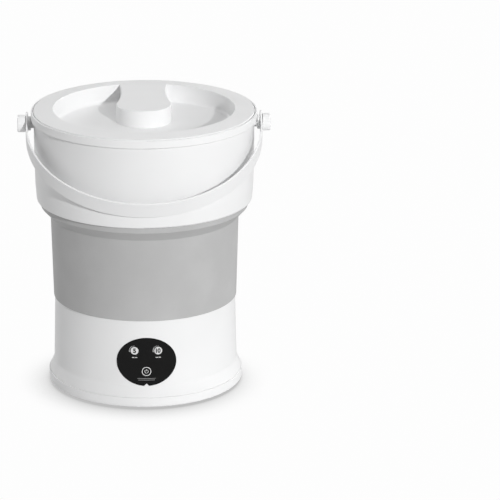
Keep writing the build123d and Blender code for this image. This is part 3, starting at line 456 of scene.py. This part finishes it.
def spin(name, outline, gap=0.0):
    """Closed mesh turned about Z from an outline in millimetres, with a gap in degrees at the back."""
    rows = len(outline)
    rounds = SEGMENTS + 1 if gap else SEGMENTS
    places = []
    for s in range(rounds):
        turn = math.radians(90 + gap / 2 + (360 - gap) * s / SEGMENTS)
        places += [(p.x * MM * math.cos(turn), p.x * MM * math.sin(turn), p.y * MM) for p in outline]
    faces = []
    for s in range(SEGMENTS):
        here = s * rows
        after = (s + 1) % rounds * rows
        for r in range(rows):
            up = (r + 1) % rows
            faces.append((here + r, after + r, after + up, here + up))
    if gap:
        faces.append(tuple(range(rows)))
        faces.append(tuple(range(SEGMENTS * rows, rounds * rows)))
    mesh = bpy.data.meshes.new(name)
    mesh.from_pydata(places, [], faces)
    tidy_mesh(mesh)
    return linked(name, mesh)


print("segments round the axis", SEGMENTS)

# %% [markdown]
# ## The soft sleeve
# The sleeve is a moulded skin: a wall two millimetres thick, a flared neck and a thick collar under
# the white ring. The CAD sleeve has no rows between its ends, so it can't follow the ring down. Here
# it is one closed mesh with a row every three millimetres. Its ends come from the frame, and its wall
# from the sizes below.

# %% Sleeve sizes
FIT_GAP = 0.1
SLEEVE_WALL = 2.0
SLEEVE_SPREAD = 2.8
REBATE_DEPTH = 3.2
CLAMPED_WIDTH = 10.0
FLARE_HEIGHT = 11.8
COLLAR_STEP = 12.1
COLLAR_HEIGHT = 8.9
COLLAR_WALL = 8.5
COLLAR_CORNER = 1.2
FLARE_OFFSET = 1.0
COLLAR_FLOOR = 2.5
RING_FLANGE = 2.5
print("sleeve wall in mm", SLEEVE_WALL, "collar wall", COLLAR_WALL)

# %% Sleeve radii and heights from the frame
sleeve_low, sleeve_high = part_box("folding_sleeve")
seam_low, neck_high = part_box("base_housing")
collar = sleeve_high.x / MM
collar_inside = collar - COLLAR_WALL
flange = collar_inside + SLEEVE_WALL
wall_top_radius = collar - COLLAR_STEP
wall_foot_radius = wall_top_radius - SLEEVE_SPREAD
rebate = wall_foot_radius - REBATE_DEPTH
clamped = wall_foot_radius - SLEEVE_WALL - CLAMPED_WIDTH

sleeve_foot = sleeve_low.z / MM
sleeve_top = sleeve_high.z / MM
ring_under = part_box("upper_ring")[0].z / MM
collar_low = ring_under - COLLAR_HEIGHT
wall_top = collar_low - FLARE_HEIGHT
clamp_low = neck_high.z / MM + FIT_GAP
clamp_high = clamp_low + SLEEVE_WALL - 2 * FIT_GAP
print("wall radius in mm", round(wall_foot_radius, 1), "to", round(wall_top_radius, 1))
print("wall height in mm", round(clamp_high, 1), "to", round(wall_top, 1))

# %% Sleeve corners
sleeve_corners = [
    (rebate, sleeve_foot, 0),
    (wall_foot_radius, sleeve_foot, 0.6),
    (wall_top_radius, wall_top, 3),
    (collar - COLLAR_CORNER, collar_low, 0.8),
    (collar, collar_low + COLLAR_CORNER, 0.6),
    (collar, ring_under, 0.5),
    (flange, ring_under, 0),
    (flange, ring_under + RING_FLANGE, 0),
    (collar, ring_under + RING_FLANGE, 0),
    (collar, sleeve_top, 0),
    (collar_inside, sleeve_top, 0),
    (collar_inside, collar_low + COLLAR_FLOOR, 3),
    (wall_top_radius - SLEEVE_WALL, wall_top + FLARE_OFFSET, 5),
    (wall_foot_radius - SLEEVE_WALL, clamp_high, 0),
    (clamped, clamp_high, 0),
    (clamped, clamp_low, 0),
    (rebate, clamp_low, 0),
]
print("corners of the sleeve", len(sleeve_corners))

# %% Sleeve mesh
LONGEST_ROW = 3.0

sleeve_outline = finer(rounded_profile(sleeve_corners), LONGEST_ROW)
sleeve = spin("sleeve_skin", sleeve_outline)
sleeve.data.materials.append(slot_materials["sleeve_grey"])
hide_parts("folding_sleeve")
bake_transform(sleeve)
print("sleeve rows", len(sleeve_outline), "faces", len(sleeve.data.polygons))

# %% [markdown]
# ## The foot's edge
# On the real machine the foot comes straight down to a tight corner just over the floor, while the
# solid is cut back further below. A closed turned strip along the edge gives that corner. It lies on
# the foot, covers the lower side of the seam and leaves a gap at the back for the drain outlet.

# %% Foot edge
EDGE_PROUD = 0.1
EDGE_OVER_FLOOR = 2.8
EDGE_OVER_SEAM = 0.5
EDGE_TOP_ROUNDING = 0.5
EDGE_CORNER = 2.6
EDGE_DEPTH = 8.1
EDGE_LIP = 1.5
EDGE_SHOULDER = 8.0
DRAIN_GAP = 10.0

edge_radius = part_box("bottom_cover")[1].x / MM + EDGE_PROUD
edge_inside = edge_radius - EDGE_CORNER
edge_end = edge_radius - EDGE_DEPTH
edge_top = seam_low.z / MM + EDGE_OVER_SEAM
edge_corners = [
    (edge_radius, edge_top, EDGE_TOP_ROUNDING),
    (edge_radius, EDGE_OVER_FLOOR, EDGE_CORNER),
    (edge_end, EDGE_OVER_FLOOR, 0),
    (edge_end, EDGE_OVER_FLOOR + EDGE_LIP, 0),
    (edge_inside, EDGE_SHOULDER, 0),
    (edge_inside, edge_top, 0),
]
foot_edge = spin("foot_edge", rounded_profile(edge_corners), gap=DRAIN_GAP)
foot_edge.data.materials.append(slot_materials["white_shell"])
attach(foot_edge, "base")
print("foot edge radius in mm", round(edge_radius, 1), "faces", len(foot_edge.data.polygons))

# %% [markdown]
# ## Marks on the lens
# The marks are printed on the lens: two pale timer discs with plain numbers, a ring with a plain
# standby sign and short plain bars. Each is drawn flat, as across and up in millimetres, made a few
# hundredths of a millimetre thick, and then laid on the lens, which is a cone that narrows slightly
# upwards. Thin pieces keep their edges crisp at any size, which a painted mask would not.

# %% Lay a flat shape on the lens
LENS_LEVEL = 30.0
LENS_RADIUS = 118.5
LENS_TAPER = 0.02448
MARK_THICK = 0.06
MARK_SHARP = 40.0
SAME_POINT = 1e-4


def lay_on_lens(mesh):
    """Moves vertices from (across, up, thickness) in millimetres onto the lens."""
    for vertex in mesh.vertices:
        across, up, lift = vertex.co
        radius = LENS_RADIUS - LENS_TAPER * (up - LENS_LEVEL) + lift
        turn = across / radius
        vertex.co = (radius * math.sin(turn) * MM, -radius * math.cos(turn) * MM, up * MM)


def thick_mark(name, flat, material):
    """Closed thin piece from a bmesh of flat faces."""
    bmesh.ops.remove_doubles(flat, verts=flat.verts, dist=SAME_POINT)
    raised = bmesh.ops.extrude_face_region(flat, geom=flat.faces[:])
    top = [item for item in raised["geom"] if isinstance(item, bmesh.types.BMVert)]
    bmesh.ops.translate(flat, verts=top, vec=(0, 0, MARK_THICK))
    mesh = bpy.data.meshes.new(name)
    flat.to_mesh(mesh)
    flat.free()
    lay_on_lens(mesh)
    tidy_mesh(mesh, MARK_SHARP)
    mesh.materials.append(material)
    piece = linked(name, mesh)
    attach(piece, "base")
    print(name, "faces", len(mesh.polygons))


print("lens radius in mm", LENS_RADIUS, "at height", LENS_LEVEL)


# %% Flat rings and bars
def flat_face(flat, points):
    """One face of a bmesh from (across, up) points."""
    flat.faces.new([flat.verts.new((across, up, 0)) for across, up in points])


def sector(flat, centre, inner, outer, first=0.0, last=360.0, steps=64, rows=1):
    """Flat ring or part of a ring in rows of quads; inner 0 gives a full disc."""
    turns = [math.radians(first + (last - first) * i / steps) for i in range(steps + 1)]
    for row in range(rows):
        low = inner + (outer - inner) * row / rows
        high = inner + (outer - inner) * (row + 1) / rows
        for a, b in zip(turns, turns[1:]):
            near = [(low, b), (low, a)] if low > 0 else [(0.0, a)]
            corners = [(high, a), (high, b)] + near
            points = [(centre[0] + r * math.cos(t), centre[1] + r * math.sin(t)) for r, t in corners]
            flat_face(flat, points)


def bar(flat, low, high, rows=2, columns=1):
    """Flat bar between two corners, in rows and columns so that it can bend."""
    for row in range(rows):
        near = low[1] + (high[1] - low[1]) * row / rows
        far = low[1] + (high[1] - low[1]) * (row + 1) / rows
        for column in range(columns):
            left = low[0] + (high[0] - low[0]) * column / columns
            right = low[0] + (high[0] - low[0]) * (column + 1) / columns
            flat_face(flat, [(left, near), (right, near), (right, far), (left, far)])


print("rings and bars ready")

# %% Timer discs
TIMER_KEYS = {"5": -15.0, "10": 15.0}
TIMER_HEIGHT = 76.3
DISC_RADIUS = 5.0

discs = bmesh.new()
for across in TIMER_KEYS.values():
    sector(discs, (across, TIMER_HEIGHT), 0.0, DISC_RADIUS, rows=6)
thick_mark("timer_discs", discs, ink_white)

# %% Standby sign
POWER_HEIGHT = 49.0
RING_INNER = 5.1
RING_OUTER = 5.95
ARC_INNER = 1.9
ARC_OUTER = 2.5
ARC_START = 122
ARC_END = 418
STROKE_HALF = 0.32
STROKE_LOW = 0.5
STROKE_HIGH = 3.0

power = bmesh.new()
sector(power, (0, POWER_HEIGHT), RING_INNER, RING_OUTER, rows=2)
sector(power, (0, POWER_HEIGHT), ARC_INNER, ARC_OUTER, ARC_START, ARC_END, steps=48)
stroke_low = (-STROKE_HALF, POWER_HEIGHT + STROKE_LOW)
stroke_high = (STROKE_HALF, POWER_HEIGHT + STROKE_HIGH)
bar(power, stroke_low, stroke_high, rows=6)
thick_mark("power_mark", power, ink_white)

# %% Bars under the discs
DASH_HEIGHT = 67.4
DASH_HALF = 0.45
DASH_NEAR = 0.4
DASH_FAR = 3.3

dashes = bmesh.new()
for across in TIMER_KEYS.values():
    for left, right in ((-DASH_FAR, -DASH_NEAR), (DASH_NEAR, DASH_FAR)):
        low_corner = (across + left, DASH_HEIGHT - DASH_HALF)
        high_corner = (across + right, DASH_HEIGHT + DASH_HALF)
        bar(dashes, low_corner, high_corner, columns=3)
thick_mark("timer_dashes", dashes, ink_white)

# %% Bars under the standby sign
LINE_HEIGHTS = {39.6: 11.5, 37.5: 10.5}
LINE_HALF = 0.28

lines = bmesh.new()
for up, half in LINE_HEIGHTS.items():
    bar(lines, (-half, up - LINE_HALF), (half, up + LINE_HALF), columns=24)
thick_mark("small_lines", lines, ink_grey)

# %% [markdown]
# ## Numbers on the discs
# The two numbers are made from Blender's own font, turned into a mesh first and made thick like the
# other marks, so that they bend with the lens. They lie a twentieth of a millimetre higher than the
# discs, because two faces at the same place would show through each other in spots.

# %% Numbers
NUMERAL_HEIGHT = 5.5
NUMERAL_WIDTH = {"5": 1.05, "10": 0.98}
FONT_SIZE = 1.45
FONT_SPACING = 0.88
FONT_BOLD = 0.062
LIFT_OVER_DISC = 0.05


def numeral(text, across, up, height):
    """Thin dark numeral laid over its disc."""
    curve = bpy.data.curves.new("numeral_" + text, "FONT")
    curve.body = text
    curve.align_x = "CENTER"
    curve.align_y = "CENTER"
    curve.size = height * FONT_SIZE
    curve.resolution_u = 4
    curve.space_character = FONT_SPACING
    curve.offset = FONT_BOLD * height
    source = linked("numeral_source", curve)
    bpy.context.view_layer.update()
    flat_mesh = bpy.data.meshes.new_from_object(source)
    bpy.data.objects.remove(source)
    flat = bmesh.new()
    flat.from_mesh(flat_mesh)
    bpy.data.meshes.remove(flat_mesh)
    middle_x = (min(v.co.x for v in flat.verts) + max(v.co.x for v in flat.verts)) / 2
    middle_y = (min(v.co.y for v in flat.verts) + max(v.co.y for v in flat.verts)) / 2
    bmesh.ops.translate(flat, verts=flat.verts, vec=(-middle_x, up - middle_y, LIFT_OVER_DISC))
    bmesh.ops.scale(flat, verts=flat.verts, vec=(NUMERAL_WIDTH[text], 1, 1))
    bmesh.ops.translate(flat, verts=flat.verts, vec=(across, 0, 0))
    thick_mark("numeral_" + text, flat, ink_black)


for text, across in TIMER_KEYS.items():
    numeral(text, across, TIMER_HEIGHT, NUMERAL_HEIGHT)

# %% [markdown]
# ## Dotted arcs
# Round each timer disc runs a short arc of dots that grow. A Geometry Nodes tree suits what repeats
# along a path: it turns a count, a radius and two angles into points, puts a small cylinder on each
# and scales it. The result becomes a plain mesh before it is laid on the lens.

# %% The tree of dots
DOT_COUNT = 9
DOT_CIRCLE = 6.5
DOT_FIRST = 92.0
DOT_LAST = 190.0
DOT_RADIUS = 0.52
DOT_SIDES = 16
SMALLEST_DOT = 0.55


def dot_sockets(tree):
    """Named inputs for the sizes, the geometry and the material."""
    tree.interface.new_socket("Geometry", in_out="INPUT", socket_type="NodeSocketGeometry")
    for name, kind, value in (
        ("Count", "NodeSocketInt", DOT_COUNT),
        ("Radius", "NodeSocketFloat", DOT_CIRCLE),
        ("First angle", "NodeSocketFloat", math.radians(DOT_FIRST)),
        ("Last angle", "NodeSocketFloat", math.radians(DOT_LAST)),
        ("Dot radius", "NodeSocketFloat", DOT_RADIUS),
    ):
        socket = tree.interface.new_socket(name, in_out="INPUT", socket_type=kind)
        socket.default_value = value
    tree.interface.new_socket("Material", in_out="INPUT", socket_type="NodeSocketMaterial")
    tree.interface.new_socket("Geometry", in_out="OUTPUT", socket_type="NodeSocketGeometry")


def dot_tree():
    """Geometry Nodes tree that makes the dots flat, round the origin."""
    tree = bpy.data.node_groups.new("dotted_arc", "GeometryNodeTree")
    dot_sockets(tree)
    graph = Graph(tree)
    given = {output.name: Value(graph, output) for output in graph.node("NodeGroupInput").outputs}
    points = graph.value("GeometryNodePoints", 0, {"Count": given["Count"]})
    share = graph.value("GeometryNodeInputIndex", 0) / (given["Count"] - 1.0)
    angle = given["First angle"] + (given["Last angle"] - given["First angle"]) * share
    across = graph.value("ShaderNodeMath", 0, {0: angle}, operation="COSINE") * given["Radius"]
    up = graph.value("ShaderNodeMath", 0, {0: angle}, operation="SINE") * given["Radius"]
    spot = graph.value("ShaderNodeCombineXYZ", 0, {"X": across, "Y": up})
    placed = graph.value("GeometryNodeSetPosition", 0, {"Geometry": points, "Position": spot})
    sizes = {"Vertices": DOT_SIDES, "Radius": given["Dot radius"], "Depth": MARK_THICK}
    dot = graph.value("GeometryNodeMeshCylinder", "Mesh", sizes)
    size = SMALLEST_DOT + (1 - SMALLEST_DOT) * share
    growth = graph.value("ShaderNodeCombineXYZ", 0, {"X": size, "Y": size, "Z": 1.0})
    copies = {"Points": placed, "Instance": dot, "Scale": growth}
    spread = graph.value("GeometryNodeInstanceOnPoints", 0, copies)
    solid = graph.value("GeometryNodeRealizeInstances", 0, {"Geometry": spread})
    coloured = graph.value("GeometryNodeSetMaterial", 0, {"Geometry": solid, "Material": given["Material"]})
    graph.node("NodeGroupOutput", {0: coloured})
    return tree


arc_tree = dot_tree()
print("nodes in the tree of dots", len(arc_tree.nodes))


# %% The arcs as pieces
def dotted_arc(name, across, up):
    """The tree's dots as a piece of its own, laid on the lens."""
    source = linked(name + "_source", bpy.data.meshes.new(name + "_start"))
    modifier = source.modifiers.new("dots", "NODES")
    modifier.node_group = arc_tree
    for item in arc_tree.interface.items_tree:
        if item.in_out == "INPUT" and item.socket_type == "NodeSocketMaterial":
            modifier[item.identifier] = ink_white
    bpy.context.view_layer.update()
    evaluated = source.evaluated_get(bpy.context.evaluated_depsgraph_get())
    ready = bpy.data.meshes.new_from_object(evaluated)
    source.modifiers.clear()
    bpy.data.objects.remove(source)
    for vertex in ready.vertices:
        vertex.co += Vector((across, up, MARK_THICK / 2))
    lay_on_lens(ready)
    tidy_mesh(ready)
    piece = linked(name, ready)
    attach(piece, "base")
    print(name, "faces", len(ready.polygons), "material", ready.materials[-1].name)


for text, across in TIMER_KEYS.items():
    dotted_arc("dots_" + text, across, TIMER_HEIGHT)

# %% [markdown]
# ## Floor
# The picture is a product shot on white. A lit floor would turn grey or flood the object with its
# own light, so this one shows two faces: to the camera it glows nearly white and darkens softly
# round the foot, where ambient occlusion finds the machine close by, and to everything else it is a
# plain pale floor that glows a little. The occlusion looks a little towards the back right, because
# the picture's shade lies in front of the foot and to its left.

# %% Floor
FLOOR_HALF = 9.0
FLOOR_WHITE = 0.985
FLOOR_SHADE = 0.48
FLOOR_GLOW = 0.27
SHADE_REACH = 0.075
SHADE_LEAN = {"X": 0.1, "Y": 0.24, "Z": 0.965}

floor_mesh = bpy.data.meshes.new("floor")
floor_corners = [(x * FLOOR_HALF, y * FLOOR_HALF, 0) for x, y in ((-1, -1), (1, -1), (1, 1), (-1, 1))]
floor_mesh.from_pydata(floor_corners, [], [(0, 1, 2, 3)])
floor = linked("floor", floor_mesh)


def floor_white():
    """Pale floor that the camera sees as a white sheet with a soft shade."""
    material, graph = new_material("floor_white")
    seen = graph.value("ShaderNodeLightPath", "Is Camera Ray")
    leaning = graph.value("ShaderNodeCombineXYZ", 0, SHADE_LEAN)
    reach = {"Distance": SHADE_REACH, "Normal": leaning}
    shelter = 1.0 - graph.value("ShaderNodeAmbientOcclusion", "AO", reach, samples=16)
    white = FLOOR_WHITE - shelter.band(0.1, 0.75) * FLOOR_SHADE
    sheet = graph.value("ShaderNodeEmission", 0, {"Color": rgb(1, 1, 1), "Strength": white})
    plain = graph.value("ShaderNodeBsdfDiffuse", 0, {"Color": rgb(0.8, 0.8, 0.8)})
    glow = graph.value("ShaderNodeEmission", 0, {"Color": rgb(1, 1, 1), "Strength": FLOOR_GLOW})
    both = graph.value("ShaderNodeAddShader", 0, {0: plain, 1: glow})
    choice = graph.value("ShaderNodeMixShader", 0, {0: seen, 1: both, 2: sheet})
    graph.node("ShaderNodeOutputMaterial", {"Surface": choice})
    return material


floor_mesh.materials.append(floor_white())
print("floor half width in metres", FLOOR_HALF)

# %% [markdown]
# ## Even light
# Most of a studio's light comes from large white walls. The world stands in for them: it is a little
# brighter behind the object than in front, and darker in reflections than on matt surfaces, so that
# the black lens stays black. The camera itself sees plain white.

# %% World
MATT_FRONT = 0.31
MATT_BEHIND = 0.33
MIRROR_FRONT = 0.16
MIRROR_BEHIND = 0.4
BACKDROP = 0.99

world = bpy.data.worlds.new("studio")
bpy.context.scene.world = world
world.use_nodes = True
graph = Graph(world.node_tree)
ray = graph.node("ShaderNodeLightPath")
seen = Value(graph, ray.outputs["Is Camera Ray"])
shiny = Value(graph, ray.outputs["Is Glossy Ray"])
way = graph.node("ShaderNodeSeparateXYZ", {0: graph.value("ShaderNodeTexCoord", "Generated")})
behind = Value(graph, way.outputs["Y"]).band(0.0, 0.8)
matt = MATT_FRONT + behind * MATT_BEHIND
mirror = MIRROR_FRONT + behind * MIRROR_BEHIND
level = matt + shiny * (mirror - matt) + seen * (BACKDROP - matt)
walls = graph.value("ShaderNodeBackground", 0, {"Color": rgb(1, 1, 1), "Strength": level})
graph.node("ShaderNodeOutputWorld", {"Surface": walls})
print("even light in front", MATT_FRONT, "and behind", MATT_FRONT + MATT_BEHIND)

# %% [markdown]
# ## Lamps
# Five suns shape the object. A low, narrow key from the front right throws the strap's and the
# dish's crisp shadows. A broad fill from the right and two rim lights from behind brighten the
# sides, and a soft one from overhead lights the lid. They leave the floor alone, because the picture
# has no cast shadow on it.

# %% Lamps
NARROW = 5.0
LAMP_DISTANCE = 3

unlit = bpy.data.collections.new("not_lit_by_the_suns")
unlit.objects.link(floor)
unlit.collection_objects[0].light_linking.link_state = "EXCLUDE"


def sun(name, azimuth, elevation, strength, width):
    """Sun from an azimuth to the right of the front, in degrees; it lights the object only.

    A narrow sun makes crisp shadows, but its highlight would be a hard spot, so it makes none.
    """
    lamp = bpy.data.lights.new(name, "SUN")
    lamp.energy = strength
    lamp.angle = math.radians(width)
    a = math.radians(azimuth)
    e = math.radians(elevation)
    source = Vector((math.sin(a) * math.cos(e), -math.cos(a) * math.cos(e), math.sin(e)))
    holder = linked(name, lamp)
    holder.rotation_mode = "QUATERNION"
    holder.rotation_quaternion = source.to_track_quat("Z", "Y")
    holder.location = source * LAMP_DISTANCE
    holder.light_linking.receiver_collection = unlit
    holder.visible_glossy = width > NARROW


sun("key", azimuth=24.0, elevation=20.0, strength=1.93, width=1.0)
sun("right_fill", azimuth=84.0, elevation=16.0, strength=0.43, width=50.0)
sun("left_rim", azimuth=-138.0, elevation=14.0, strength=0.71, width=25.0)
sun("right_rim", azimuth=140.0, elevation=14.0, strength=0.49, width=25.0)
sun("overhead", azimuth=0.0, elevation=90.0, strength=0.45, width=40.0)
print("lamps", len(bpy.data.lights))

# %% [markdown]
# ## Camera
# The picture was taken from far away with a long lens, looking down at the rim. The camera's place,
# tilt and lens come from fitting the ellipses of the rim, the sleeve and the foot.

# %% Camera
SENSOR_WIDTH = 36.0
FOCAL_LENGTH = 240.6
FAR_CLIP = 60.0
CAMERA_PLACE = (-0.0325, -4.0886, 1.5097)
CAMERA_AHEAD = (0.0410, 0.9992)
CAMERA_PITCH = math.radians(18.12)
CAMERA_ROLL = math.radians(0.2)

camera_data = bpy.data.cameras.new("camera")
camera_data.sensor_width = SENSOR_WIDTH
camera_data.lens = FOCAL_LENGTH
camera_data.clip_end = FAR_CLIP
camera = linked("camera", camera_data)
level_share = math.cos(CAMERA_PITCH)
ahead = Vector((CAMERA_AHEAD[0] * level_share, CAMERA_AHEAD[1] * level_share, -math.sin(CAMERA_PITCH)))
camera.rotation_mode = "QUATERNION"
camera.rotation_quaternion = ahead.to_track_quat("-Z", "Y") @ Quaternion((0, 0, 1), CAMERA_ROLL)
camera.location = CAMERA_PLACE
bpy.context.scene.camera = camera
bpy.context.scene.view_settings.view_transform = "Standard"
print("camera at", [round(x, 3) for x in camera.location])
